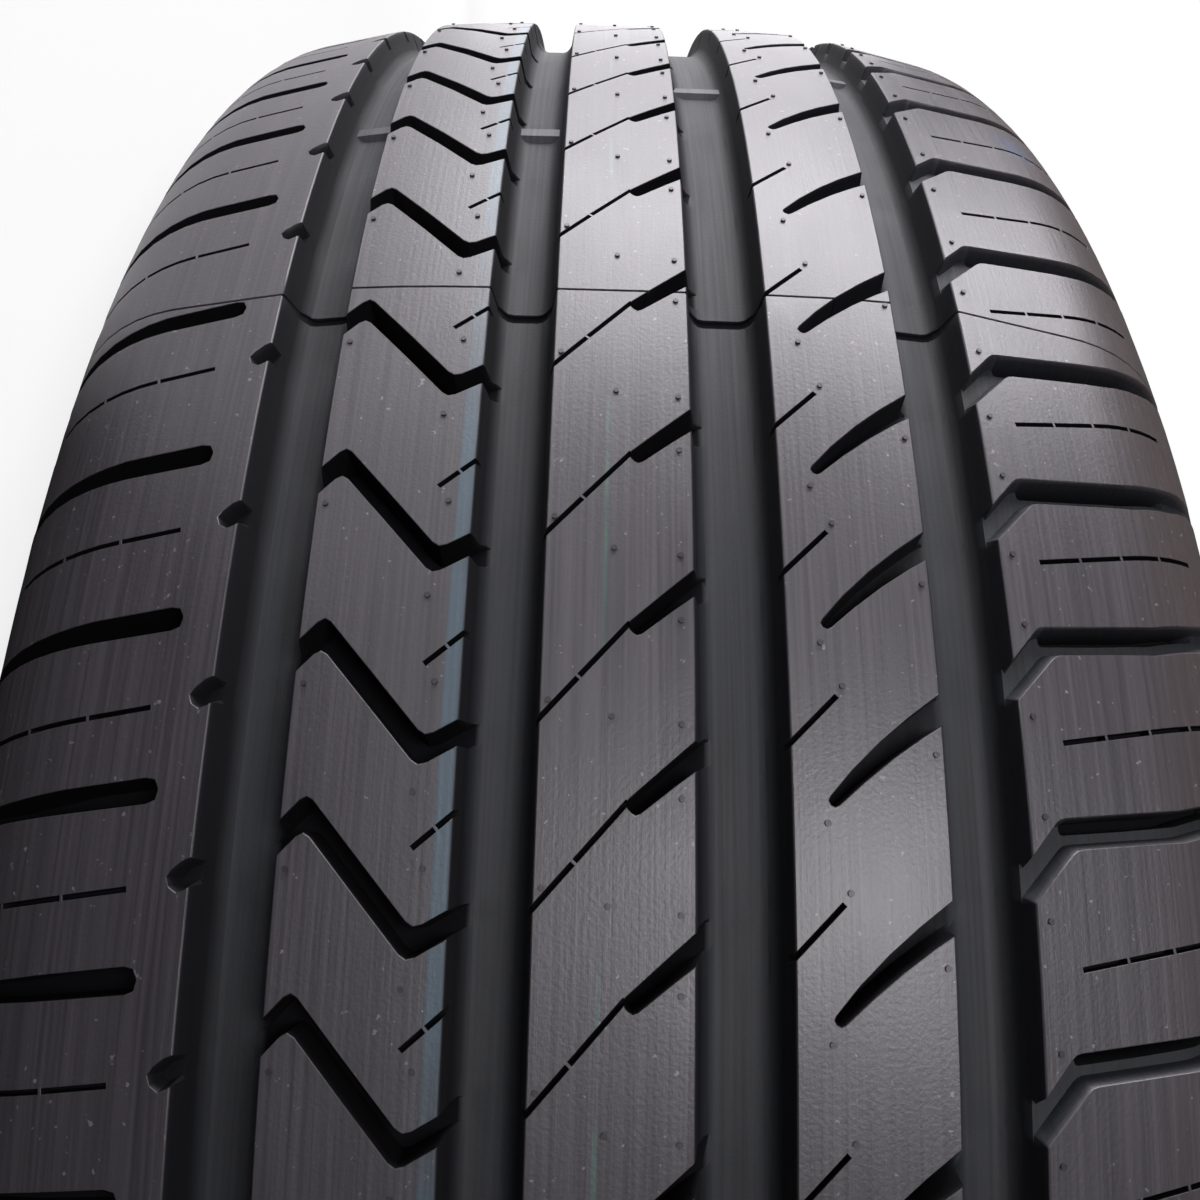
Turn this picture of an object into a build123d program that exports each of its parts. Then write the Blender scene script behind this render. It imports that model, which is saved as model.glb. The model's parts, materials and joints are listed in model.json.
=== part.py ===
"""A road car tyre, moulded in one piece, 225 wide and 45 % as high, for a 17 inch rim.

Millimetres. The wheel's axis is Z and the origin is the tyre's centre. "Across" is a place along Z,
"along" is a distance round the crown, "drop" is a distance below the crown's highest circle and
"depth" is a distance below the tread's own surface. The ring is stepped round in straight facets,
one for each pitch of the tread pattern, and the pattern's slots are cut into it pitch by pitch.
"""

import math
import os

from build123d import *

# Size class
section_width = 225.0
section_height = 0.45 * section_width
rim_code_diameter = 17 * 25.4
rim_width = 7.5 * 25.4
bead_seat_diameter = 436.6

# Crown: a middle that falls with the fourth power, a straight shoulder and its rounded edge
shoulder_start = 60.0
shoulder_start_drop = 2.65
shoulder_slope = math.radians(12)
shoulder_end = 82.0
edge_slope = math.radians(50)
edge_end = 101.0
edge_steps = 2

# Main grooves and the ribs between them, from the left shoulder to the right one
left_shoulder_inside = -62.4
groove_widths = [12.5, 11.7, 13.9, 12.4]
rib_widths = [25.1, 23.3, 23.0]
tread_depth = 7.5
groove_draft = math.radians(10)

# Sidewall, rim protector and bead
wall_steps = 2
protector_height = 27.0
protector_inset = 2.0
flange_height = 18.5
toe_height = 2.5
bead_base_width = 17.0
seat_allowance = 1.0

# Thickness of the casing
sidewall_thickness = 8.0
crown_thickness = 16.0
inner_crown_half_width = 74.0

# Pitches: their lengths swell and shrink over a cycle of six, eleven times round
cycles = 11
pitches_in_cycle = 6
pitch_swing = 0.115
pattern_start = 104.9
facet_shift = 16.0
right_rib_shift = 26.0
right_shoulder_shift = 56.3

# Slots: each is a wedge-shaped cut, wide for its depth, that runs past its line's ends
slot_half_angle = math.radians(17)
wide_half_angle = math.radians(22)
slot_overrun = 3.0
cutter_height = 25.0
slot_depth = 6.3
middle_slot_depth = 5.3
run_out_depth = 2.2

# Lines of the slots: places across from the rib's edges, and places along from the pitch's point
left_slot_inset = 6.0
left_slot_alongs = [0.0, -4.6]
chevron_apex_inset = 4.0
chevron_foot_inset = 5.3
chevron_alongs = [-7.5, -3.2, -21.7, -18.7]
chevron_drop = 7.2
middle_slot_length = 10.0
middle_slot_alongs = [-2.2, 6.3]
right_slot_length = 17.5
right_slot_alongs = [0.0, 14.9]
elbow_inset = 6.1
elbow_alongs = [-9.9, -2.7, 0.8]

# Values that follow from these
tyre_radius = rim_code_diameter / 2 + section_height
half_section = section_width / 2
half_rim = rim_width / 2
bead_seat_radius = bead_seat_diameter / 2
shoulder_end_drop = shoulder_start_drop + (shoulder_end - shoulder_start) * math.tan(shoulder_slope)
edge_radius = (edge_end - shoulder_end) / (math.sin(edge_slope) - math.sin(shoulder_slope))


def groove_edges():
    """The two edges of each main groove, across the crown."""
    edges = []
    here = left_shoulder_inside
    for groove, rib in zip(groove_widths, rib_widths + [0.0]):
        edges.append((here, here + groove))
        here += groove + rib
    return edges


def crown_drop(across):
    """How far the tread's surface lies below the crown's highest circle."""
    reach = abs(across)
    if reach <= shoulder_start:
        return shoulder_start_drop * (reach / shoulder_start) ** 4
    if reach <= shoulder_end:
        return shoulder_start_drop + (reach - shoulder_start) * math.tan(shoulder_slope)
    slope = math.asin((reach - shoulder_end) / edge_radius + math.sin(shoulder_slope))
    return shoulder_end_drop + edge_radius * (math.cos(shoulder_slope) - math.cos(slope))


def on_crown(across):
    """A point of the section on the tread's surface, as radius and place along the axis."""
    return (tyre_radius - crown_drop(across), across)


def tread_outline():
    """The crown between the two shoulders' ends, with the four grooves in it."""
    inset = tread_depth * math.tan(groove_draft)
    points = [on_crown(-shoulder_end)]
    for first, last in groove_edges():
        floor = tyre_radius - max(crown_drop(first), crown_drop(last)) - tread_depth
        points += [on_crown(first), (floor, first + inset), (floor, last - inset), on_crown(last)]
    return points + [on_crown(shoulder_end)]


def side_outline():
    """One side: the shoulder's edge, the sidewall, the bead, and up the inside to the crown."""
    edge = []
    for step in range(1, edge_steps + 1):
        edge.append(on_crown(shoulder_end + (edge_end - shoulder_end) * step / edge_steps))
    wall_radius = (half_section - edge_end) / (1 - math.sin(edge_slope))
    wall = []
    for step in range(1, wall_steps + 1):
        slope = edge_slope + (math.pi / 2 - edge_slope) * step / wall_steps
        drop = wall_radius * (math.cos(edge_slope) - math.cos(slope))
        out = wall_radius * (math.sin(slope) - math.sin(edge_slope))
        wall.append((edge[-1][0] - drop, edge_end + out))
    base_radius = bead_seat_radius - seat_allowance
    bead = [
        (bead_seat_radius + protector_height, half_section - protector_inset),
        (bead_seat_radius + flange_height, half_rim),
        (base_radius, half_rim),
        (base_radius, half_rim - bead_base_width),
        (bead_seat_radius + toe_height, half_rim - bead_base_width),
    ]
    inside = [
        (wall[-1][0], half_section - sidewall_thickness),
        (tyre_radius - crown_thickness, inner_crown_half_width),
    ]
    return edge + wall + bead + inside


def pitch_angles():
    """The angle of each pitch's point round the tyre."""
    pitches = cycles * pitches_in_cycle
    angles = [pattern_start / tyre_radius]
    for pitch in range(pitches - 1):
        phase = 2 * math.pi * (pitch + 0.5) / pitches_in_cycle
        angles.append(angles[-1] + 2 * math.pi / pitches * (1 + pitch_swing * math.cos(phase)))
    return angles


def faceted_ring(outline, angles):
    """The section's outline, stepped round the axis through the angles as one closed solid."""
    sections = []
    for angle in angles:
        sections.append([Vector(-r * math.sin(angle), -r * math.cos(angle), z) for r, z in outline])
    faces = []
    for here, there in zip(sections, sections[1:] + sections[:1]):
        for point in range(len(outline)):
            corners = [here[point - 1], here[point], there[point], there[point - 1]]
            faces.append(Face(Wire.make_polygon(corners)))
    return Solid(Shell(faces))


def cut_line(acrosses, alongs, depths):
    """The lowest line of a cut, as points of across, along and drop."""
    drops = [crown_drop(across) + depth for across, depth in zip(acrosses, depths)]
    return list(zip(acrosses, alongs, drops))


def wedge_cutter(line, half_angle):
    """A wedge that stands on the lowest line of a cut and runs past both of its ends."""
    points = [Vector(-along, drop - tyre_radius, across) for across, along, drop in line]
    points[0] += (points[0] - points[1]).normalized() * slot_overrun
    points[-1] += (points[-1] - points[-2]).normalized() * slot_overrun
    opening = cutter_height * math.tan(half_angle)
    start = Plane(points[0], x_dir=Vector(0, -1, 0), z_dir=points[1] - points[0])
    corners = [(0, 0), (cutter_height, opening), (cutter_height, -opening)]
    wedge = make_face(Polyline(*corners, close=True))
    return sweep(start * wedge, Polyline(*points), transition=Transition.RIGHT)


def left_side_cutters():
    """The cuts of one pitch on the left shoulder, the chevron rib and the middle rib."""
    (outer, chevron_left), (chevron_right, _), (middle_right, _), _ = groove_edges()
    shoulder = cut_line([outer - left_slot_inset, -edge_end], left_slot_alongs, [0.0, run_out_depth])
    apex = chevron_left + chevron_apex_inset
    foot = chevron_right - chevron_foot_inset
    level = [chevron_drop] * len(chevron_alongs)
    chevron = list(zip([chevron_left, apex, foot, chevron_right], chevron_alongs, level))
    middle_tip = middle_right - middle_slot_length
    middle = cut_line([middle_tip, middle_right], middle_slot_alongs, [0.0, middle_slot_depth])
    return [
        wedge_cutter(shoulder, wide_half_angle),
        wedge_cutter(chevron, slot_half_angle),
        wedge_cutter(middle, wide_half_angle),
    ]


def right_rib_cutter():
    """The cut of one pitch on the right rib."""
    rib_right = groove_edges()[-1][0]
    line = cut_line([rib_right - right_slot_length, rib_right], right_slot_alongs, [0.0, slot_depth])
    return wedge_cutter(line, slot_half_angle)


def right_shoulder_cutter():
    """The elbowed cut of one pitch on the right shoulder."""
    inside = groove_edges()[-1][1]
    depths = [slot_depth, slot_depth, run_out_depth]
    line = cut_line([inside, inside + elbow_inset, edge_end], elbow_alongs, depths)
    return wedge_cutter(line, wide_half_angle)


def tyre():
    """The ring, its pattern of cuts, and the true round seat that the rim presses into."""
    angles = pitch_angles()
    side = side_outline()
    outline = tread_outline() + side + [(radius, -across) for radius, across in side[::-1]]
    ring = faceted_ring(outline, [angle + facet_shift / tyre_radius for angle in angles])
    cutters = [Cylinder(bead_seat_radius, section_width)]
    pattern = [(cutter, 0.0) for cutter in left_side_cutters()]
    pattern += [(right_rib_cutter(), right_rib_shift), (right_shoulder_cutter(), right_shoulder_shift)]
    for angle in angles:
        for cutter, shift in pattern:
            cutters.append(cutter.rotate(Axis.Z, -math.degrees(angle + shift / tyre_radius)))
    return ring.cut(*cutters)


os.makedirs("parts", exist_ok=True)
export_step(tyre(), "parts/tyre.step")
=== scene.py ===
"""A road car tyre that lies on its sidewall, seen from close to its tread.

Lengths are millimetres until a mesh is made, where METRE turns them into the frame's metres. The tread is
drawn flat over one cycle of pitches, in "across" (along the wheel's axis) and "along" (round the crown).
It is then wrapped onto the crown's profile and repeated round the tyre.
"""

import json
import math

import bmesh
import bpy
import numpy as np
from mathutils import Matrix, Vector
from mathutils.geometry import delaunay_2d_cdt


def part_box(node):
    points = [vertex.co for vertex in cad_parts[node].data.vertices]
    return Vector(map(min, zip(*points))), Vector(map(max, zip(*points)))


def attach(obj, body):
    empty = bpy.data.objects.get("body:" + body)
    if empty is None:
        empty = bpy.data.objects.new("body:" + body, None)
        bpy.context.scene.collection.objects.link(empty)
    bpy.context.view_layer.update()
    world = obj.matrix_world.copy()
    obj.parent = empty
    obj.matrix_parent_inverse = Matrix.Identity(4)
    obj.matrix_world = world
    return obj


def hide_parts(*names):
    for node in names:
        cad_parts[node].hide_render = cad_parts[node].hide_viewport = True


METRE = 0.001
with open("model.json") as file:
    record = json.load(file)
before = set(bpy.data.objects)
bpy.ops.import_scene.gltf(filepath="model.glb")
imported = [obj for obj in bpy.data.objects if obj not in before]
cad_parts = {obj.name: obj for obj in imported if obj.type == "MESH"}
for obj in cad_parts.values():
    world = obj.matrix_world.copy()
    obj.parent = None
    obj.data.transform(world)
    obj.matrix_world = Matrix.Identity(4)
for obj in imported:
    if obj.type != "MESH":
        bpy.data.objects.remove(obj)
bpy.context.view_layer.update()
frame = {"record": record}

# Sizes that the frame gives
low_corner, high_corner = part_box("tyre")
TYRE_RADIUS = max(high_corner.x, high_corner.y) / METRE
HALF_SECTION = high_corner.z / METRE
rim_seat = frame["record"]["mounts"][0]["dims"]
SEAT_RADIUS = rim_seat["r_mm"]
HALF_RIM = rim_seat["length_mm"] / 2

# Crown: a middle that falls with the fourth power, a straight shoulder, its edge and the wall's start
SHOULDER_START = 60.0
SHOULDER_START_DROP = 2.65
SHOULDER_SLOPE = math.radians(12)
SHOULDER_END = 82.0
EDGE_SLOPE = math.radians(50)
EDGE_END = 101.0
TREAD_END = 108.0
SHOULDER_END_DROP = SHOULDER_START_DROP + (SHOULDER_END - SHOULDER_START) * math.tan(SHOULDER_SLOPE)
EDGE_RADIUS = (EDGE_END - SHOULDER_END) / (math.sin(EDGE_SLOPE) - math.sin(SHOULDER_SLOPE))
EDGE_DROP = SHOULDER_END_DROP + EDGE_RADIUS * (math.cos(SHOULDER_SLOPE) - math.cos(EDGE_SLOPE))
WALL_RADIUS = (HALF_SECTION - EDGE_END) / (1 - math.sin(EDGE_SLOPE))

# Pitches: their lengths swell and shrink over a cycle of six, eleven times round
CYCLES = 11
PITCHES = 6
PITCH_SWING = 0.115
CYCLE_LENGTH = 2 * math.pi * TYRE_RADIUS / CYCLES
PATTERN_START = 104.9
RIGHT_RIB_SHIFT = 26.0
RIGHT_SHOULDER_SHIFT = 56.3

# Main grooves, from the left shoulder to the right one
GROOVES = [(-62.4, -49.9), (-24.8, -13.1), (10.2, 24.1), (47.1, 59.5)]
GROOVE_DEPTH = 7.5
WALL_LEAN = math.tan(math.radians(10))
GROOVE_FILLET = 2.4
GROOVE_CHAMFER = 0.25
SLOT_CHAMFER = 0.12
FILLET_STEPS = [(0.2, 0.45), (0.55, 0.12), (1.0, 0.0)]
LEAST_INSET = 0.05

# Cuts of the pitches, and how far they reach along the tread from the pitch's point
SLOT_DEPTH = 7.2
SLOT_LEAN = 0.05
SHALLOW_DEPTH = 3.0
SIPE_DEPTH = 1.8
SIPE_TIE = 0.5
SIPE_WIDTH = 0.8
SIPE_LEAN = 0.03
SIPE_CHAMFER = 0.07
PATTERN_REACH = 30.0
RUN_OUT_ACROSS = [90.0, 99.0, 106.0]
RUN_OUT_SHARE = [1.0, 0.75, 0.0]
SOFTEN_BELOW = math.cos(math.radians(20))
SOFTEN_SHARE = 0.46
LEAST_HALF_WIDTH = 0.12
LEAST_MITRE = 0.3
# Painted shade of the main grooves, as the share mixed towards black: full on their walls, less on their
# floors
WALL_SHADE = 0.85
FLOOR_SHADE = 0.22

# The mould's joint line, and the wear bars in each groove, at places along the tread
JOINT_ALONG = 106.7
JOINT_WIDTH = 0.45
JOINT_DEPTH = 0.7
JOINT_GROOVE_WIDTH = 2.1
JOINT_FLARE = (0.4, 1.6)
JOINT_REACH = 112.0
JOINT_SLANT = 2.5
JOINT_LEAN = 0.1
JOINT_CHAMFER = 0.05
WEAR_BARS = [176.0, 173.0, 204.0, 228.0]
WEAR_BAR_SETS = 6
WEAR_BAR_HEIGHT = 1.3
WEAR_BAR_LENGTH = 3.6
WEAR_BAR_FOOT = 0.9
WEAR_BAR_SUNK = 0.3
WEAR_BAR_OVERLAP = 0.4
# The depth that the bars pass to the material, which gives them part of the grooves' painted shade
WEAR_BAR_TONE = 0.9

# Mesh steps: short ones out where the shoulder's edge bends
LINE_STEP = 12.0
GRID_STEP = 8.5
BEND_START = 76.0
BEND_STEP = 3.6
GRID_CLEARANCE = 0.9
END_PARTS = 45
MERGE_DISTANCE = 1e-4
RING_SEGMENTS = 264
WALL_STEPS = 10
SHARP_ANGLE = math.radians(32)
CUT_START = 0.02
JOIN_DISTANCE = 0.00002

# Sidewall, bead and inside
SIDE_OVERLAP = 0.6
SIDE_TUCK = 0.15
WALL_FLAT = 9.0
WALL_ROUND = 12.0
PROTECTOR_HEIGHT = 27.0
PROTECTOR_INSET = 2.0
PROTECTOR_STEP = 1.5
PROTECTOR_ROUND = 1.2
RING_RADII = [281.0, 262.5, 251.5]
RING_SHAPE = [(0.7, 0.0), (0.35, 0.5), (-0.35, 0.5), (-0.7, 0.0)]
FLANGE_HEIGHT = 18.5
FLANGE_ROUND = 5.0
HEEL_ROUND = 3.0
BEAD_WIDTH = 17.0
TOE_HEIGHT = 2.5
SMALL_ROUND = 0.8
SIDEWALL_THICKNESS = 8.0
CROWN_THICKNESS = 16.0
INNER_CROWN = 74.0
INNER_WALL_ROUND = 25.0
INNER_CROWN_ROUND = 20.0
ROUND_STEP = math.radians(9)

# Vent stubs, across and along from the pitch's point, and their size in metres
LEFT_PIPS = [
    (-2.3, 11.3), (8.1, 10.3), (8.1, -0.6), (-11.8, -13.6),
    (-48.3, -11.7), (-30.8, -27.6), (-28.7, -11.2),
]
RIGHT_RIB_PIPS = [(29.2, -2.4), (45.8, 8.0), (32.2, 18.0)]
RIGHT_SHOULDER_PIPS = [(61.6, -15.6), (62.0, -0.6)]
PIP_RADIUS = 0.00048
PIP_HEIGHT = 0.00034
# How much painted shade darkens the vent stubs
PIP_SHADE = 0.35
PIP_SIDES = 10

# Colours of the rubber, with painted shade for the grooves and cuts and a painted highlight for the edges
RIB_DARK = (0.03, 0.0268, 0.0316, 1)
RIB_LIGHT = (0.058, 0.052, 0.06, 1)
SHOULDER_BROWN = (0.07, 0.053, 0.049, 1)
SPECK_PALE = (0.26, 0.25, 0.26, 1)
# Grooves' rubber, far darker than the ribs as painted shade, streaked between these two
GROOVE_PAINTED_SHADE_DARK = (0.004, 0.0048, 0.0064, 1)
GROOVE_PAINTED_SHADE_BLUE = (0.011, 0.014, 0.019, 1)
# Painted highlight along the chamfered top edges
PAINTED_EDGE_HIGHLIGHT = (0.17, 0.16, 0.17, 1)
LINE_BLUE = (0.05, 0.11, 0.15, 1)
LINE_GREEN = (0.04, 0.15, 0.1, 1)
SMUDGE_BLUE = (0.035, 0.07, 0.17, 1)
# Black that painted shade mixes in, in place of the shadow in slots, sipes, groove walls and on vent stubs
PAINTED_SHADE_BLACK = (0.004, 0.004, 0.005, 1)

# Finish of the rubber: stretch of the noises (round, across, radius), and limits of each mark
STREAK_STRETCH = (5.0, 1.4, 300.0)
BROAD_STRETCH = (12.0, 0.07, 20.0)
GRAIN_SCALE = 1500.0
SPECK_SCALE = 760.0
SPECK_LEVELS = (0.69, 0.75)
# Depths over which the grooves' painted shade and their rougher finish come in
SUNK_DEPTHS = (0.3, 1.2)
# Depths of the chamfers that get the painted highlight
EDGE_HIGHLIGHT_DEPTHS = (0.05, 0.24, 0.05)
TOP_DEPTHS = (0.0, 0.24)
BLUE_LINE = (-27.4, -25.0, 0.5)
GREEN_LINE = (-3.9, -3.3, 0.3)
SMUDGE_ACROSS = (84.0, 91.0, 2.5)
SMUDGE_ANGLES = (0.548, 0.582, 0.01)
BROWN_ACROSS = (74.0, 102.0)
BROWN_RADII = (0.285, 0.3)
RUBBER_SPECULAR = 0.75
BUMP_STRENGTH = 0.16
BUMP_DISTANCE = 0.0005
# Dull finish of that painted shade, so that it shows no reflection
PAINTED_SHADE_ROUGHNESS = 0.9
PAINTED_SHADE_SPECULAR = 0.1

# Stage, in metres: the image's upper side is -X and its right side is +Z
FLOOR_SIZE = 8.0
FLOOR_ROUGHNESS = 0.9
FLOOR_GLOW = 0.82
FLOOR_SEEN = (0.9, 0.9, 0.9, 1)
# Floor colour for all but camera rays: painted shade near the tyre, painted light far off and on the -X side
FLOOR_PAINTED_SHADE = (0.05, 0.05, 0.05, 1)
FLOOR_PAINTED_LIGHT = (0.9, 0.9, 0.9, 1)
# Where the floor's painted light comes in: on the -X side, and away from the axis
FLOOR_SWEEP = (0.08, 0.13)
FLOOR_NEAR = (0.55, 0.95)
FLOOR_FAR = (0.5, 1.0)
WORLD_LIGHT = 0.06
LIGHT_TINT = (1.0, 0.98, 1.015)
LIGHTS = [
    ("upper_panel", (-0.75, -0.49, 0.27), (-0.1, -0.49, 0.27), 0.4, 0.76, 9.0),
    ("back_panel", (-0.75, 0.0, 0.06), (-0.1, -0.1, 0.03), 0.58, 0.34, 1.8),
    ("front_panel", (0.0, -1.25, 0.36), (0.0, -0.3, 0.04), 0.34, 0.46, 6.3),
    ("far_panel", (0.9, 0.9, 0.75), (0.0, 0.0, 0.05), 0.9, 0.9, 16.0),
]

# Camera, from the perspective of the photograph: millimetres and radians, for a tyre that stands upright
CAMERA_PLACE = (-6.94, -485.45, 0.0)
CAMERA_PITCH = 0.2500744
CAMERA_YAW = 0.0150203
CAMERA_ROLL = 0.0219083
CAMERA_LENS = 34.637
CAMERA_SENSOR = 36.0
CAMERA_NEAR = 0.01


def crown(across):
    """The drop below the highest circle, and the slope, of the uncut surface at a place across."""
    reach = abs(across)
    if reach <= SHOULDER_START:
        drop = SHOULDER_START_DROP * (reach / SHOULDER_START) ** 4
        return drop, math.atan(4 * drop / max(reach, 1.0))
    if reach <= SHOULDER_END:
        return SHOULDER_START_DROP + (reach - SHOULDER_START) * math.tan(SHOULDER_SLOPE), SHOULDER_SLOPE
    if reach <= EDGE_END:
        slope = math.asin(math.sin(SHOULDER_SLOPE) + (reach - SHOULDER_END) / EDGE_RADIUS)
        return SHOULDER_END_DROP + EDGE_RADIUS * (math.cos(SHOULDER_SLOPE) - math.cos(slope)), slope
    slope = math.asin(min(math.sin(EDGE_SLOPE) + (reach - EDGE_END) / WALL_RADIUS, 1.0))
    return EDGE_DROP + WALL_RADIUS * (math.cos(EDGE_SLOPE) - math.cos(slope)), slope


def wrapped(across, along, depth):
    """A place of the flat tread, at a depth below its surface, as a point of the tyre in metres."""
    drop, slope = crown(across)
    radius = TYRE_RADIUS - drop - depth * math.cos(slope)
    side = across - math.copysign(depth * math.sin(slope), across)
    angle = along / TYRE_RADIUS
    return Vector((-radius * math.sin(angle), -radius * math.cos(angle), side)) * METRE


def pitch_points(start):
    """Where each pitch's point lies along the tread over one cycle."""
    points = [start]
    for pitch in range(PITCHES - 1):
        phase = 2 * math.pi * (pitch + 0.5) / PITCHES
        points.append(points[-1] + CYCLE_LENGTH / PITCHES * (1 + PITCH_SWING * math.cos(phase)))
    return points


def band(path, widths, grow=0.0, trim=0.0):
    """The outline of a strip along a path, with a width at each point, made wider and cut shorter."""
    points = [np.array(point, float) for point in path]
    steps = [(b - a) / np.linalg.norm(b - a) for a, b in zip(points, points[1:])]
    points[0] = points[0] + steps[0] * trim
    points[-1] = points[-1] - steps[-1] * trim
    left = []
    right = []
    for place, (point, width) in enumerate(zip(points, widths)):
        ahead = steps[min(place, len(steps) - 1)]
        behind = steps[max(place - 1, 0)]
        across = np.array([-ahead[1] - behind[1], ahead[0] + behind[0]])
        across = across / np.linalg.norm(across)
        stretch = 1 / max(across @ np.array([-ahead[1], ahead[0]]), LEAST_MITRE)
        half = max(width / 2 + grow, LEAST_HALF_WIDTH * width) * stretch
        left.append(point + across * half)
        right.append(point - across * half)
    return left + right[::-1]


def softened(outline, radius):
    """An outline with its corners rounded."""
    points = []
    for before, corner, after in zip(outline[-1:] + outline[:-1], outline, outline[1:] + outline[:1]):
        back = before - corner
        ahead = after - corner
        back_length = np.linalg.norm(back)
        ahead_length = np.linalg.norm(ahead)
        straightness = -(back @ ahead) / (back_length * ahead_length)
        if straightness > SOFTEN_BELOW:
            points.append(corner)
            continue
        start = corner + back * min(radius / back_length, SOFTEN_SHARE)
        end = corner + ahead * min(radius / ahead_length, SOFTEN_SHARE)
        points += [start, (start + 2 * corner + end) / 4, end]
    return points


class Cut:
    """A slot in the tread: a strip with leaning walls, a chamfered top edge and a floor."""

    def __init__(
        self, path, widths, depth, lean=SLOT_LEAN, chamfer=SLOT_CHAMFER, soft=0.0, shade=1.0, fillet=0.0
    ):
        self.path = path
        self.widths = widths
        self.soft = soft
        # Painted shade: none on the top, rising to the cut's share at the chamfer's foot, in place of the
        # shadow in the cut
        self.shading = [(0.0, 0.0), (chamfer, shade)]
        inset = max(lean * depth, LEAST_INSET)
        self.profile = [(-chamfer, 0.0), (0.0, chamfer), (inset, depth)]
        if fillet:
            self.profile[2:] = [
                (lean * SHALLOW_DEPTH, SHALLOW_DEPTH),
                (inset * (1 - fillet / depth), depth - fillet),
            ]
            self.profile += [(inset + out * fillet, depth - up * fillet) for out, up in FILLET_STEPS]
            # and falls to the groove floor's lighter painted shade
            self.shading += [(depth - fillet, shade), (depth, FLOOR_SHADE)]

    def at(self, along):
        """The same cut, moved along the tread."""
        moved = Cut.__new__(Cut)
        moved.__dict__.update(self.__dict__)
        moved.path = [(point[0], point[1] + along) for point in self.path]
        return moved

    def outline(self, inset):
        """The edge of the cut at one level of its profile."""
        edge = band(self.path, self.widths, -inset, inset)
        return softened(edge, self.soft) if self.soft else edge

    def outlines(self):
        """The edges at every level of the profile."""
        return [self.outline(inset) for inset, _ in self.profile]

    def depths(self, places):
        """How deep the cut is at each of the places."""
        inside = inner_distance(self.outline(0.0), places)
        return np.interp(inside, *zip(*self.profile))

    def shades(self, depths):
        """How much painted shade darkens the cut at each of the depths."""
        return np.interp(depths, *zip(*self.shading))


def inner_distance(outline, places):
    """The distance of each place from an outline, positive inside it."""
    corners = np.array(outline)
    nearest = np.full(len(places), np.inf)
    crossings = np.zeros(len(places), bool)
    for start, end in zip(corners, np.roll(corners, -1, axis=0)):
        edge = end - start
        offset = places - start
        share = np.clip(offset @ edge / max(edge @ edge, 1e-12), 0, 1)
        nearest = np.minimum(nearest, np.linalg.norm(offset - share[:, None] * edge, axis=1))
        spans = (start[1] > places[:, 1]) != (end[1] > places[:, 1])
        if edge[1] != 0:
            crossing = start[0] + (places[:, 1] - start[1]) / edge[1] * edge[0]
            crossings ^= spans & (places[:, 0] < crossing)
    return np.where(crossings, nearest, -nearest)


def sipe(start, end, dashes=3):
    """A knife-thin cut between two places, broken by narrow ties."""
    start = np.array(start)
    end = np.array(end)
    step = (end - start) / dashes
    tie = step / np.linalg.norm(step) * SIPE_TIE
    cuts = []
    for dash in range(dashes):
        path = [start + step * dash, start + step * (dash + 1) - tie]
        cuts.append(Cut(path, [SIPE_WIDTH] * 2, SIPE_DEPTH, SIPE_LEAN, SIPE_CHAMFER))
    return cuts


def left_cuts():
    """The cuts of one pitch left of the third groove, from its point."""
    slot = [(-69.0, -0.4), (-84.0, -2.3), (-98.0, -4.3), (-112.0, -6.4)]
    chevron = [(-53.9, -11.75), (-46.2, -3.4), (-30.1, -21.9), (-20.8, -16.46)]
    return [
        Cut(slot, [3.9, 3.7, 2.9, 2.2], SLOT_DEPTH, soft=1.9),
        Cut([(-65.4, -14.5), (-61.2, -11.1)], [3.6, 3.6], SHALLOW_DEPTH, 0.25, soft=1.75, shade=0.85),
        *sipe((-72.0, -15.0), (-103.0, -19.6)),
        Cut(chevron, [3.4] * 4, SLOT_DEPTH, soft=1.5),
        *sipe((-30.5, -8.5), (-23.6, -2.4), 2),
        Cut([(0.5, -2.5), (6.0, 2.2), (14.0, 8.8)], [2.6, 3.0, 3.8], SLOT_DEPTH, soft=1.0),
        *sipe((-15.0, -18.7), (0.6, -0.8), 2),
    ]


def right_rib_cuts():
    """The cuts of one pitch on the right rib, from the rib's own point."""
    blade = [(29.8, 0.2), (34.0, 4.5), (38.5, 8.5), (43.0, 12.0), (50.9, 17.5)]
    return [
        Cut(blade, [1.7, 2.5, 3.1, 3.6, 4.4], SLOT_DEPTH, soft=0.9, shade=0.75),
        *sipe((22.0, 7.0), (31.6, 16.8), 1),
    ]


def right_shoulder_cuts():
    """The cuts of one pitch on the right shoulder, from the shoulder's own point."""
    elbow = [(57.0, -12.8), (65.6, -3.0), (85.0, -1.0), (94.0, 1.2), (102.0, 4.2), (114.0, 8.5)]
    slit = [(65.9, -1.9), (76.0, -0.8), (86.0, 0.3), (97.0, 3.0)]
    return [
        Cut(elbow, [4.2, 4.7, 4.8, 4.5, 3.6, 2.6], SHALLOW_DEPTH, 0.3, soft=1.0, shade=0.25),
        Cut(slit, [2.2, 2.4, 2.2, 1.6], SLOT_DEPTH, soft=0.6),
        *sipe((66.3, 10.8), (97.0, 16.4), 4),
    ]


def sides():
    """The patterns of a pitch: how far each is shifted along the tread, its cuts and its vent stubs."""
    return [
        (0.0, left_cuts(), LEFT_PIPS),
        (RIGHT_RIB_SHIFT, right_rib_cuts(), RIGHT_RIB_PIPS),
        (RIGHT_SHOULDER_SHIFT, right_shoulder_cuts(), RIGHT_SHOULDER_PIPS),
    ]


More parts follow.
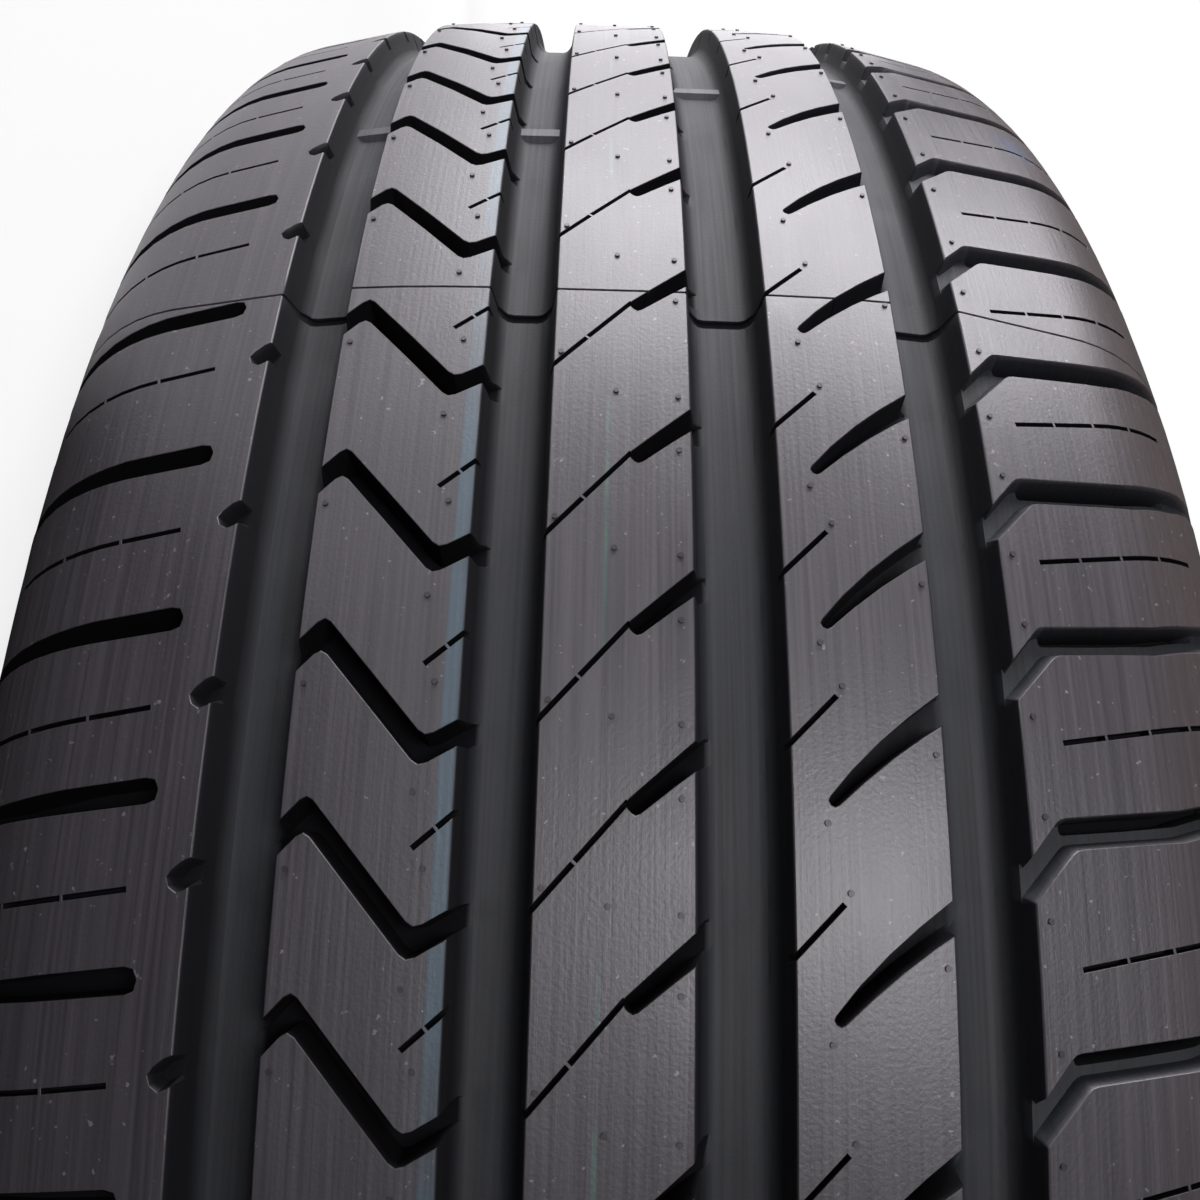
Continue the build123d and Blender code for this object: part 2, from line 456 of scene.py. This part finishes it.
def mould_joint():
    """The fine line where two segments of the mould met, wider down in the grooves."""
    outer, inner = JOINT_FLARE
    path = [(-JOINT_REACH, JOINT_ALONG)]
    widths = [JOINT_WIDTH]
    for first, last in GROOVES:
        flares = (first - outer, first + inner, last - inner, last + outer)
        path += [(across, JOINT_ALONG) for across in flares]
        widths += [JOINT_WIDTH, JOINT_GROOVE_WIDTH, JOINT_GROOVE_WIDTH, JOINT_WIDTH]
    path.append((JOINT_REACH, JOINT_ALONG - JOINT_SLANT))
    widths.append(JOINT_WIDTH)
    return Cut(path, widths, JOINT_DEPTH, JOINT_LEAN, JOINT_CHAMFER)


def tread_cuts():
    """Every cut of one cycle: the main grooves and the pitches' cuts."""
    cuts = []
    ends = [-LINE_STEP, CYCLE_LENGTH + LINE_STEP]
    for first, last in GROOVES:
        path = [((first + last) / 2, end) for end in ends]
        widths = [last - first] * 2
        groove = Cut(path, widths, GROOVE_DEPTH, WALL_LEAN, GROOVE_CHAMFER, 0.0, WALL_SHADE, GROOVE_FILLET)
        cuts.append(groove)
    for shift, pattern, _ in sides():
        for point in pitch_points(PATTERN_START + shift):
            for turn in (-1, 0, 1):
                along = point % CYCLE_LENGTH + turn * CYCLE_LENGTH
                if -PATTERN_REACH < along < CYCLE_LENGTH + PATTERN_REACH:
                    cuts += [cut.at(along) for cut in pattern]
    return cuts


def run_out(across):
    """How much of a cut's depth is left where it runs out over the shoulder's edge."""
    return np.interp(np.abs(across), RUN_OUT_ACROSS, RUN_OUT_SHARE)


def split_line(outline, step):
    """An outline's corners, with further points so that no stretch is longer than the step."""
    points = []
    for start, end in zip(outline, outline[1:] + outline[:1]):
        bends = max(abs(start[0]), abs(end[0])) > BEND_START and start[0] != end[0]
        longest = min(step, BEND_STEP) if bends else step
        parts = max(1, math.ceil(np.linalg.norm(end - start) / longest))
        points += [start + (end - start) * part / parts for part in range(parts)]
    return points


def flat_tread():
    """One cycle of the tread: its places, their depths and painted shade, and its triangles."""
    cuts = tread_cuts()
    joint = mould_joint()
    points = []
    edges = []

    def add_loop(outline, step):
        first = len(points)
        loop = split_line(outline, step)
        points.extend(Vector(point) for point in loop)
        edges.extend((first + k, first + (k + 1) % len(loop)) for k in range(len(loop)))

    corners = [(-TREAD_END, 0), (TREAD_END, 0), (TREAD_END, CYCLE_LENGTH), (-TREAD_END, CYCLE_LENGTH)]
    add_loop([np.array(corner, float) for corner in corners], CYCLE_LENGTH / END_PARTS)
    for cut in cuts + [joint]:
        for outline in cut.outlines():
            add_loop(outline, LINE_STEP)
    bend = np.arange(BEND_START, TREAD_END, BEND_STEP)
    columns = [*-bend, *np.arange(GRID_STEP - BEND_START, BEND_START, GRID_STEP), *bend]
    rows = np.arange(GRID_STEP / 2, CYCLE_LENGTH, GRID_STEP)
    grid = np.array([(column, row) for row in rows for column in columns])
    clear = np.ones(len(grid), bool)
    for cut in cuts:
        for outline in cut.outlines():
            clear &= np.abs(inner_distance(outline, grid)) > GRID_CLEARANCE
    points += [Vector(place) for place in grid[clear]]
    places, _, triangles, _, _, _ = delaunay_2d_cdt(points, edges, [], 0, MERGE_DISTANCE)
    places = np.array([tuple(place) for place in places])
    depths = np.zeros(len(places))
    shades = np.zeros(len(places))
    for cut in cuts:
        cut_depths = cut.depths(places)
        # The deepest cut gives each place its painted shade
        shades = np.where(cut_depths > depths, cut.shades(cut_depths), shades)
        depths = np.maximum(depths, cut_depths)
    depths *= run_out(places[:, 0])
    joint_depths = joint.depths(places)
    depths += joint_depths
    # The mould joint's crack gets painted shade as well
    shades = np.maximum(shades, joint_depths / JOINT_DEPTH)
    kept = []
    for triangle in triangles:
        middle = places[list(triangle)].mean(axis=0)
        if abs(middle[0]) < TREAD_END and 0 < middle[1] < CYCLE_LENGTH:
            kept.append(list(triangle))
    return places, depths, shades, kept


def mesh_object(name, points, faces):
    """A new object from points in metres and faces, in the scene."""
    mesh = bpy.data.meshes.new(name)
    mesh.from_pydata(points, [], faces)
    mesh.validate()
    made = bpy.data.objects.new(name, mesh)
    bpy.context.scene.collection.objects.link(made)
    return made


def sharpen(mesh, angle):
    """Smooth faces, with a sharp edge where two faces meet at more than an angle or where a cut starts."""
    work = bmesh.new()
    work.from_mesh(mesh)
    bmesh.ops.delete(work, geom=[vert for vert in work.verts if not vert.link_faces], context="VERTS")
    depth = work.verts.layers.float.get("depth")
    cut_faces = set()
    for face in work.faces:
        face.smooth = True
        if depth and max(vert[depth] for vert in face.verts) > CUT_START:
            cut_faces.add(face)
    for edge in work.edges:
        starts_cut = sum(face in cut_faces for face in edge.link_faces) == 1
        edge.smooth = len(edge.link_faces) == 2 and not starts_cut and edge.calc_face_angle() < angle
    work.to_mesh(mesh)
    work.free()


def tread_cycle():
    """One cycle of the tread, wrapped onto the crown, with depth and painted shade kept for the material."""
    places, depths, shades, triangles = flat_tread()
    points = [wrapped(across, along, depth) for (across, along), depth in zip(places, depths)]
    cycle = mesh_object("tread_cycle", points, triangles)
    for name, values in [("depth", depths), ("shade", shades)]:
        kept = cycle.data.attributes.new(name, "FLOAT", "POINT")
        kept.data.foreach_set("value", values)
    return cycle


def rounded_line(corners):
    """A line through corners of (radius, across, fillet), with each corner rounded by its fillet."""
    line = []
    for place, (radius, across, fillet) in enumerate(corners):
        corner = np.array([radius, across])
        if place in (0, len(corners) - 1) or fillet == 0:
            line.append(corner)
            continue
        before = np.array(corners[place - 1][:2]) - corner
        after = np.array(corners[place + 1][:2]) - corner
        before = before / np.linalg.norm(before)
        after = after / np.linalg.norm(after)
        turn = math.acos(max(-1.0, min(1.0, -before @ after)))
        reach = fillet * math.tan(turn / 2)
        steps = max(2, math.ceil(turn / ROUND_STEP))
        for step in range(steps + 1):
            share = step / steps
            start = corner + before * reach * (1 - share)
            end = corner + after * reach * share
            line.append(start + (end - start) * share)
    return line


def with_rings(wall):
    """The outside of a sidewall, from its highest radius down, with fine raised rings on it."""
    radii, acrosses = np.array(wall[::-1]).T
    reach = RING_SHAPE[0][0]
    line = [point for point in wall if min(abs(point[0] - ring) for ring in RING_RADII) > reach]
    for ring in RING_RADII:
        for step, rise in RING_SHAPE:
            across = np.interp(ring + step, radii, acrosses)
            line.append(np.array([ring + step, across + rise]))
    return sorted(line, key=lambda point: -point[0])


def side_line():
    """One side's section, from under the tread's end over the bead to the middle of the inside."""
    first = crown(TREAD_END - SIDE_OVERLAP)[1]
    upper = []
    for slope in np.linspace(first, math.pi / 2, WALL_STEPS):
        out = WALL_RADIUS * (math.sin(slope) - math.sin(EDGE_SLOPE))
        drop = EDGE_DROP + WALL_RADIUS * (math.cos(EDGE_SLOPE) - math.cos(slope))
        upper.append(np.array([TYRE_RADIUS - drop, EDGE_END + out]))
    upper[0] = upper[0] - SIDE_TUCK
    widest_radius = upper[-1][0]
    protector = SEAT_RADIUS + PROTECTOR_HEIGHT
    lower = rounded_line([
        (widest_radius, HALF_SECTION, 0),
        (widest_radius - WALL_FLAT, HALF_SECTION, WALL_ROUND),
        (protector, HALF_SECTION - PROTECTOR_INSET, PROTECTOR_ROUND),
        (protector - PROTECTOR_STEP, HALF_SECTION - PROTECTOR_INSET - PROTECTOR_STEP, SMALL_ROUND),
        (SEAT_RADIUS + FLANGE_HEIGHT, HALF_RIM, FLANGE_ROUND),
        (SEAT_RADIUS, HALF_RIM, HEEL_ROUND),
        (SEAT_RADIUS, HALF_RIM - BEAD_WIDTH, SMALL_ROUND),
        (SEAT_RADIUS + TOE_HEIGHT, HALF_RIM - BEAD_WIDTH, SMALL_ROUND),
        (widest_radius, HALF_SECTION - SIDEWALL_THICKNESS, INNER_WALL_ROUND),
        (TYRE_RADIUS - CROWN_THICKNESS, INNER_CROWN, INNER_CROWN_ROUND),
        (TYRE_RADIUS - CROWN_THICKNESS, 0, 0),
    ])
    line = upper + lower[1:]
    wall_end = next(place for place, point in enumerate(line) if point[0] < protector + PROTECTOR_ROUND)
    return with_rings(line[:wall_end]) + line[wall_end:]


def turned(name, line, segments):
    """A line of (radius, across) turned about the wheel's axis."""
    points = []
    faces = []
    count = len(line)
    for segment in range(segments):
        angle = 2 * math.pi * segment / segments
        points += [Vector((r * math.cos(angle), r * math.sin(angle), z)) * METRE for r, z in line]
        here = segment * count
        there = (segment + 1) % segments * count
        faces += [(here + k, there + k, there + k + 1, here + k + 1) for k in range(count - 1)]
    return mesh_object(name, points, faces)


class Tree:
    """A node tree with one short way to add a node and to set or link its inputs."""

    def __init__(self, nodes):
        self.tree = nodes

    def node(self, kind, settings=None, **inputs):
        """A new node: its settings are set first, then the values or links of its inputs."""
        made = self.tree.nodes.new(kind)
        for name, value in (settings or {}).items():
            setattr(made, name, value)
        for name, value in inputs.items():
            self.put(self.socket(made, name), value)
        return made

    def socket(self, node, name):
        """An input by its name in lower case, or by its number after an underscore."""
        if name[0] == "_":
            return node.inputs[int(name[1:])]
        return next(s for s in node.inputs if s.name.lower().replace(" ", "_") == name and s.enabled)

    def put(self, socket, value):
        """Links a value to an input, or sets the input to a plain value."""
        source = getattr(value, "socket", value)
        if isinstance(source, bpy.types.NodeSocket):
            self.tree.links.new(source, socket)
        else:
            socket.default_value = source


class Value:
    """A number in a node tree, which turns arithmetic into maths nodes."""

    def __init__(self, tree, socket):
        self.tree = tree
        self.socket = socket

    def maths(self, operation, *values):
        """The result of a maths node on these values."""
        inputs = {f"_{place}": value for place, value in enumerate(values)}
        made = self.tree.node("ShaderNodeMath", {"operation": operation}, **inputs)
        return Value(self.tree, made.outputs[0])

    def __add__(self, other):
        return self.maths("ADD", self, other)

    def __radd__(self, other):
        return self.maths("ADD", other, self)

    def __sub__(self, other):
        return self.maths("SUBTRACT", self, other)

    def __rsub__(self, other):
        return self.maths("SUBTRACT", other, self)

    def __mul__(self, other):
        return self.maths("MULTIPLY", self, other)

    def __rmul__(self, other):
        return self.maths("MULTIPLY", other, self)

    def ramp(self, low, high):
        """From 0 at low to 1 at high, smoothly."""
        made = self.tree.node(
            "ShaderNodeMapRange", {"interpolation_type": "SMOOTHSTEP"},
            value=self, from_min=low, from_max=high,
        )
        return Value(self.tree, made.outputs[0])

    def between(self, low, high, soft):
        """1 from low to high, with soft ends."""
        return self.ramp(low - soft, low + soft) * (1 - self.ramp(high - soft, high + soft))


def mixed(tree, share, first, second):
    """A colour that goes from the first to the second."""
    made = tree.node("ShaderNodeMix", {"data_type": "RGBA"}, _0=share, _6=first, _7=second)
    return made.outputs[2]


def stretched(tree, values, factors):
    """Three values as one vector, each multiplied by its factor."""
    x, y, z = [value * factor for value, factor in zip(values, factors)]
    return tree.node("ShaderNodeCombineXYZ", x=x, y=y, z=z).outputs[0]


def noise(tree, vector, scale, detail=3.0, roughness=0.55):
    """A noise over a vector, about 0.5 on average."""
    made = tree.node("ShaderNodeTexNoise", vector=vector, scale=scale, detail=detail, roughness=roughness)
    return Value(tree, made.outputs[0])


def rubber():
    """New tyre rubber: grey where the mould polished it, darker in the grooves as painted shade, with a
    painted highlight on its edges, and mixed with black as painted shade in the cuts.
    """
    material = bpy.data.materials.new("rubber")
    material.use_nodes = True
    tree = Tree(material.node_tree)
    shader = material.node_tree.nodes["Principled BSDF"]
    place = tree.node("ShaderNodeTexCoord").outputs["Object"]
    parts = tree.node("ShaderNodeSeparateXYZ", vector=place).outputs
    x, y, z = [Value(tree, socket) for socket in parts]
    across = z * (1 / METRE)
    angle = x.maths("ARCTAN2", x * -1, y * -1)
    radius = x.maths("SQRT", x * x + y * y)
    round_tyre = (angle, across, radius)
    streaks = noise(tree, stretched(tree, round_tyre, STREAK_STRETCH), 1.0, 4.0, 0.6)
    broad = noise(tree, stretched(tree, round_tyre, BROAD_STRETCH), 1.0, 2.0)
    grain = noise(tree, place, GRAIN_SCALE)
    specks = noise(tree, place, SPECK_SCALE, 2.0).ramp(*SPECK_LEVELS)
    depth_node = tree.node("ShaderNodeAttribute", {"attribute_name": "depth"})
    depth = Value(tree, depth_node.outputs["Fac"])
    shade_node = tree.node("ShaderNodeAttribute", {"attribute_name": "shade"})
    shade = Value(tree, shade_node.outputs["Fac"])
    sunk = depth.ramp(*SUNK_DEPTHS)
    # Painted highlight on the chamfers, in patches, less where painted shade is
    painted_edge_highlight = depth.between(*EDGE_HIGHLIGHT_DEPTHS) * (1 - shade) * broad.ramp(0.3, 0.65)
    top = 1 - depth.ramp(*TOP_DEPTHS)
    blue_line = across.between(*BLUE_LINE) * top * broad.ramp(0.25, 0.55)
    smudge = across.between(*SMUDGE_ACROSS) * angle.between(*SMUDGE_ANGLES) * grain.ramp(0.3, 0.6)
    green_line = across.between(*GREEN_LINE) * top * broad.ramp(0.5, 0.62)
    brown = across.ramp(*BROWN_ACROSS) * radius.ramp(*BROWN_RADII) * (0.5 + grain * 0.5)
    # Painted shade in the grooves: a darker colour below the chamfers, by depth
    groove = mixed(tree, streaks.ramp(0.25, 0.7), GROOVE_PAINTED_SHADE_DARK, GROOVE_PAINTED_SHADE_BLUE)
    tone = mixed(tree, streaks.ramp(0.25, 0.75), RIB_DARK, RIB_LIGHT)
    tone = mixed(tree, brown, tone, SHOULDER_BROWN)
    tone = mixed(tree, specks * top * 0.5, tone, SPECK_PALE)
    tone = mixed(tree, sunk, tone, groove)
    tone = mixed(tree, painted_edge_highlight * 0.6, tone, PAINTED_EDGE_HIGHLIGHT)
    tone = mixed(tree, blue_line * 0.5, tone, LINE_BLUE)
    tone = mixed(tree, green_line * 0.45, tone, LINE_GREEN)
    tone = mixed(tree, smudge * top * 0.5, tone, SMUDGE_BLUE)
    tree.put(shader.inputs["Base Color"], tone)
    shader.inputs["Specular IOR Level"].default_value = RUBBER_SPECULAR
    polish = 0.3 + streaks * 0.14 + broad * 0.08 + sunk * (0.33 - streaks.ramp(0.3, 0.7) * 0.1)
    tree.put(shader.inputs["Roughness"], polish)
    height = streaks * (0.5 - sunk * 0.3) + grain * 0.6
    bump = tree.node("ShaderNodeBump", strength=BUMP_STRENGTH, distance=BUMP_DISTANCE, height=height)
    tree.put(shader.inputs["Normal"], bump.outputs[0])
    # Painted shade: a dull black shader, mixed in by each place's shade attribute
    painted_shade_shader = tree.node(
        "ShaderNodeBsdfPrincipled",
        base_color=PAINTED_SHADE_BLACK, roughness=PAINTED_SHADE_ROUGHNESS, specular_ior_level=PAINTED_SHADE_SPECULAR,
    )
    both = tree.node("ShaderNodeMixShader", _0=shade, _1=shader.outputs[0], _2=painted_shade_shader.outputs[0])
    output = material.node_tree.nodes["Material Output"]
    tree.put(output.inputs["Surface"], both.outputs[0])
    return material


def nodes_tree(name, sockets):
    """A geometry tree with named inputs, as the tree, its input node and its output node."""
    made = bpy.data.node_groups.new(name, "GeometryNodeTree")
    made.interface.new_socket("Geometry", in_out="INPUT", socket_type="NodeSocketGeometry")
    for socket, kind in sockets:
        made.interface.new_socket(socket, in_out="INPUT", socket_type=kind)
    made.interface.new_socket("Geometry", in_out="OUTPUT", socket_type="NodeSocketGeometry")
    tree = Tree(made)
    return tree, tree.node("NodeGroupInput").outputs, tree.node("NodeGroupOutput")


def ring_tree():
    """Repeats one cycle of the tread round the wheel's axis and joins the cycles."""
    tree, given, result = nodes_tree(
        "ring_of_cycles",
        [("Cycle", "NodeSocketObject"), ("Count", "NodeSocketInt"), ("Material", "NodeSocketMaterial")],
    )
    cycle_mesh = tree.node("GeometryNodeObjectInfo", object=given["Cycle"])
    spots = tree.node("GeometryNodePoints", count=given["Count"])
    count = Value(tree, given["Count"])
    index = Value(tree, tree.node("GeometryNodeInputIndex").outputs[0])
    turn = count.maths("DIVIDE", index * (-2 * math.pi), count)
    rotation = tree.node("ShaderNodeCombineXYZ", z=turn)
    copies = tree.node(
        "GeometryNodeInstanceOnPoints",
        points=spots.outputs[0], instance=cycle_mesh.outputs["Geometry"], rotation=rotation.outputs[0],
    )
    real = tree.node("GeometryNodeRealizeInstances", geometry=copies.outputs[0])
    joined = tree.node("GeometryNodeMergeByDistance", geometry=real.outputs[0], distance=JOIN_DISTANCE)
    dressed = tree.node("GeometryNodeSetMaterial", geometry=joined.outputs[0], material=given["Material"])
    tree.put(result.inputs[0], dressed.outputs[0])
    return tree.tree


def pip_tree():
    """Stands a small stub on each point, along the point's own upward direction, and gives the stubs painted
    shade.
    """
    tree, given, result = nodes_tree(
        "vent_stubs",
        [
            ("Radius", "NodeSocketFloat"),
            ("Height", "NodeSocketFloat"),
            ("Shade", "NodeSocketFloat"),
            ("Material", "NodeSocketMaterial"),
        ],
    )
    up = tree.node("GeometryNodeInputNamedAttribute", {"data_type": "FLOAT_VECTOR"}, name="up")
    turn = tree.node("FunctionNodeAlignRotationToVector", {"axis": "Z"}, vector=up.outputs[0])
    stub = tree.node(
        "GeometryNodeMeshCone",
        vertices=PIP_SIDES, radius_top=given["Radius"], radius_bottom=given["Radius"], depth=given["Height"],
    )
    copies = tree.node(
        "GeometryNodeInstanceOnPoints",
        points=given["Geometry"], instance=stub.outputs[0], rotation=turn.outputs[0],
    )
    real = tree.node("GeometryNodeRealizeInstances", geometry=copies.outputs[0])
    # Painted shade on the stubs
    shaded = tree.node(
        "GeometryNodeStoreNamedAttribute", {"data_type": "FLOAT", "domain": "POINT"},
        geometry=real.outputs[0], name="shade", value=given["Shade"],
    )
    dressed = tree.node("GeometryNodeSetMaterial", geometry=shaded.outputs[0], material=given["Material"])
    tree.put(result.inputs[0], dressed.outputs[0])
    return tree.tree


def baked(name, start, tree, **inputs):
    """What a geometry tree makes of a start mesh, as a plain object."""
    holder = bpy.data.objects.new(name, start)
    bpy.context.scene.collection.objects.link(holder)
    modifier = holder.modifiers.new(tree.name, "NODES")
    modifier.node_group = tree
    for item in tree.interface.items_tree:
        if item.in_out == "INPUT" and item.name in inputs:
            modifier[item.identifier] = inputs[item.name]
    bpy.context.view_layer.update()
    shown = holder.evaluated_get(bpy.context.evaluated_depsgraph_get())
    mesh = bpy.data.meshes.new_from_object(shown)
    holder.modifiers.clear()
    holder.data = mesh
    return holder


def tread(material):
    """The whole tread: one cycle, repeated round the tyre."""
    cycle = tread_cycle()
    empty = bpy.data.meshes.new("tread")
    made = baked("tread", empty, ring_tree(), Cycle=cycle, Count=CYCLES, Material=material)
    bpy.data.objects.remove(cycle)
    sharpen(made.data, SHARP_ANGLE)
    return made


def wear_bars(material):
    """The raised bars on the grooves' floors that show when the tread is worn."""
    points = []
    faces = []
    top_depth = GROOVE_DEPTH - WEAR_BAR_HEIGHT
    for (first, last), middle in zip(GROOVES, WEAR_BARS):
        base = len(points)
        for depth, grow in [(GROOVE_DEPTH + WEAR_BAR_SUNK, WEAR_BAR_FOOT), (top_depth, 0.0)]:
            left = first + depth * WALL_LEAN - WEAR_BAR_OVERLAP
            right = last - depth * WALL_LEAN + WEAR_BAR_OVERLAP
            reach = WEAR_BAR_LENGTH / 2 + grow
            for across, along in [(left, -reach), (right, -reach), (right, reach), (left, reach)]:
                points.append(wrapped(across, middle + along, depth))
        faces += [[base + 4 + k for k in range(4)]]
        faces += [[base + k, base + (k + 1) % 4, base + 4 + (k + 1) % 4, base + 4 + k] for k in range(4)]
    bars = mesh_object("wear_bar_set", points, faces)
    depth = bars.data.attributes.new("depth", "FLOAT", "POINT")
    depth.data.foreach_set("value", np.full(len(points), WEAR_BAR_TONE))
    empty = bpy.data.meshes.new("wear_bars")
    made = baked("wear_bars", empty, ring_tree(), Cycle=bars, Count=WEAR_BAR_SETS, Material=material)
    bpy.data.objects.remove(bars)
    return made


def casing(material):
    """Both sidewalls, the beads and the inside, turned in one."""
    side = side_line()
    other = [np.array([radius, -across]) for radius, across in side[::-1]]
    made = turned("casing", side + other[1:], RING_SEGMENTS)
    made.data.materials.append(material)
    sharpen(made.data, SHARP_ANGLE)
    return made


def vent_pips(material):
    """The stubs that the mould's vents leave, a few on each pitch."""
    points = []
    ups = []
    for cycle in range(CYCLES):
        for shift, _, spots in sides():
            for pitch in pitch_points(PATTERN_START + shift):
                for across, along in spots:
                    here = pitch + along + cycle * CYCLE_LENGTH
                    points.append(wrapped(across, here, 0.0))
                    ups.append(points[-1] - wrapped(across, here, 1.0))
    start = bpy.data.meshes.new("vent_pips")
    start.from_pydata(points, [], [])
    up = start.attributes.new("up", "FLOAT_VECTOR", "POINT")
    up.data.foreach_set("vector", np.array([tuple(value) for value in ups]).ravel())
    sizes = {"Radius": PIP_RADIUS, "Height": PIP_HEIGHT, "Shade": PIP_SHADE}
    return baked("vent_pips", start, pip_tree(), **sizes, Material=material)


def floor_and_backdrop():
    """A floor that looks white apart from a soft shadow. To other rays its colour is painted: dark near the
    tyre as painted shade, pale far off and on its -X side as painted light, so it throws more light back
    there.
    """
    bpy.ops.mesh.primitive_plane_add(size=FLOOR_SIZE, location=(0, 0, low_corner.z))
    floor = bpy.context.object
    floor.name = "floor"
    material = bpy.data.materials.new("floor")
    material.use_nodes = True
    tree = Tree(material.node_tree)
    shader = material.node_tree.nodes["Principled BSDF"]
    seen = Value(tree, tree.node("ShaderNodeLightPath").outputs["Is Camera Ray"])
    place = tree.node("ShaderNodeTexCoord").outputs["Object"]
    x, y, _ = [Value(tree, part) for part in tree.node("ShaderNodeSeparateXYZ", vector=place).outputs]
    away = x.maths("SQRT", x * x + y * y)
    # Painted light and shade of the floor, seen only in the tyre's reflections and bounce light
    painted_light_share = x.maths("MAXIMUM", away.ramp(*FLOOR_NEAR), (x * -1).ramp(*FLOOR_SWEEP))
    floor_painted_light_and_shade = mixed(tree, painted_light_share, FLOOR_PAINTED_SHADE, FLOOR_PAINTED_LIGHT)
    tree.put(shader.inputs["Base Color"], mixed(tree, seen, floor_painted_light_and_shade, FLOOR_SEEN))
    shader.inputs["Roughness"].default_value = FLOOR_ROUGHNESS
    shader.inputs["Specular IOR Level"].default_value = 0.0
    glow = tree.node("ShaderNodeEmission", color=(1, 1, 1, 1), strength=1.0)
    share = seen * (FLOOR_GLOW + away.ramp(*FLOOR_FAR) * (1 - FLOOR_GLOW))
    both = tree.node("ShaderNodeMixShader", _0=share, _1=shader.outputs[0], _2=glow.outputs[0])
    output = material.node_tree.nodes["Material Output"]
    tree.put(output.inputs["Surface"], both.outputs[0])
    floor.data.materials.append(material)
    world = bpy.data.worlds.new("studio")
    bpy.context.scene.world = world
    world.use_nodes = True
    tree = Tree(world.node_tree)
    seen = Value(tree, tree.node("ShaderNodeLightPath").outputs["Is Camera Ray"])
    background = world.node_tree.nodes["Background"]
    background.inputs["Color"].default_value = (1, 1, 1, 1)
    tree.put(background.inputs["Strength"], WORLD_LIGHT + seen * (1 - WORLD_LIGHT))


def area_light(name, place, target, width, height, power):
    """A soft light panel that faces a target."""
    data = bpy.data.lights.new(name, "AREA")
    data.shape = "RECTANGLE"
    data.size = width
    data.size_y = height
    data.energy = power
    data.color = LIGHT_TINT
    light = bpy.data.objects.new(name, data)
    light.location = place
    light.rotation_euler = (Vector(target) - Vector(place)).to_track_quat("-Z", "Y").to_euler()
    light.visible_camera = False
    bpy.context.scene.collection.objects.link(light)


def camera():
    """The photograph's view: close to the tread, looking up over it, with the wheel's axis to the right."""
    forward = Vector((
        math.sin(CAMERA_YAW) * math.cos(CAMERA_PITCH),
        math.cos(CAMERA_YAW) * math.cos(CAMERA_PITCH),
        math.sin(CAMERA_PITCH),
    ))
    level = Vector((math.cos(CAMERA_YAW), -math.sin(CAMERA_YAW), 0))
    upright = level.cross(forward)
    right = level * math.cos(CAMERA_ROLL) + upright * math.sin(CAMERA_ROLL)
    up = upright * math.cos(CAMERA_ROLL) - level * math.sin(CAMERA_ROLL)
    lie_down = Matrix(((0, 0, -1), (0, 1, 0), (1, 0, 0)))
    axes = [lie_down @ axis for axis in (right, up, -forward)]
    data = bpy.data.cameras.new("camera")
    data.sensor_width = CAMERA_SENSOR
    data.lens = CAMERA_LENS
    data.clip_start = CAMERA_NEAR
    made = bpy.data.objects.new("camera", data)
    place = lie_down @ Vector(CAMERA_PLACE)
    made.matrix_world = Matrix.Translation(place * METRE) @ Matrix(axes).transposed().to_4x4()
    bpy.context.scene.collection.objects.link(made)
    bpy.context.scene.camera = made


material = rubber()
for piece in (tread(material), casing(material), vent_pips(material), wear_bars(material)):
    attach(piece, "root")
    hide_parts("tyre")
floor_and_backdrop()
for light in LIGHTS:
    area_light(*light)
camera()
bpy.context.scene.view_settings.view_transform = "Standard"
